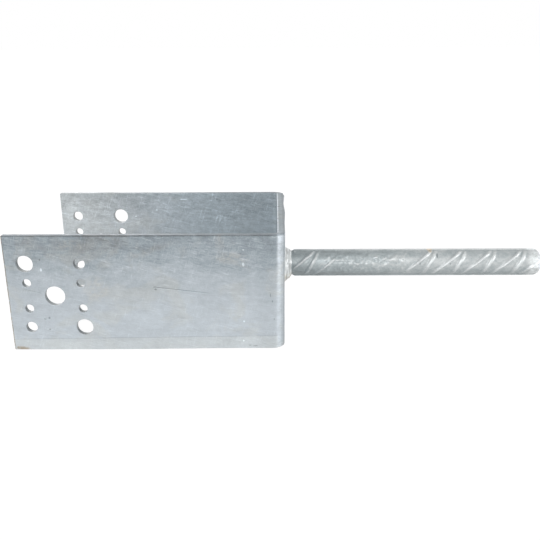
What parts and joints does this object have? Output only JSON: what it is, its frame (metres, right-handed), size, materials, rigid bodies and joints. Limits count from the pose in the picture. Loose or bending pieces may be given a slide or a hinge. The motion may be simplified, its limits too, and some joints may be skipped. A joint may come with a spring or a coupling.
{
  "type": "timber post base",
  "caption": "Galvanised steel U folded from a punched strip, with a ribbed anchor dowel welded to its web, to hold a timber post above a concrete footing.",
  "frame": {"origin": "centre of the post's seat, the inner face of the web, on the dowel's axis", "axes": "+X along the dowel, away from the post; +Z across the strip, up as the base lies on the strip's long edges; the flanges stand at the two ends of Y"},
  "size_m": [0.42, 0.15, 0.09],
  "materials": {
    "zinc_plate": "hot-dip galvanised, dull, with faint rolling streaks",
    "zinc_bar": "hot-dip galvanised, dull",
    "zinc_weld": "hot-dip galvanised, bright on the ripples"
  },
  "bodies": {
    "root": {"u_bracket": "zinc_plate", "anchor_dowel": "zinc_bar", "weld_bead": "zinc_weld"}
  },
  "joints": []
}
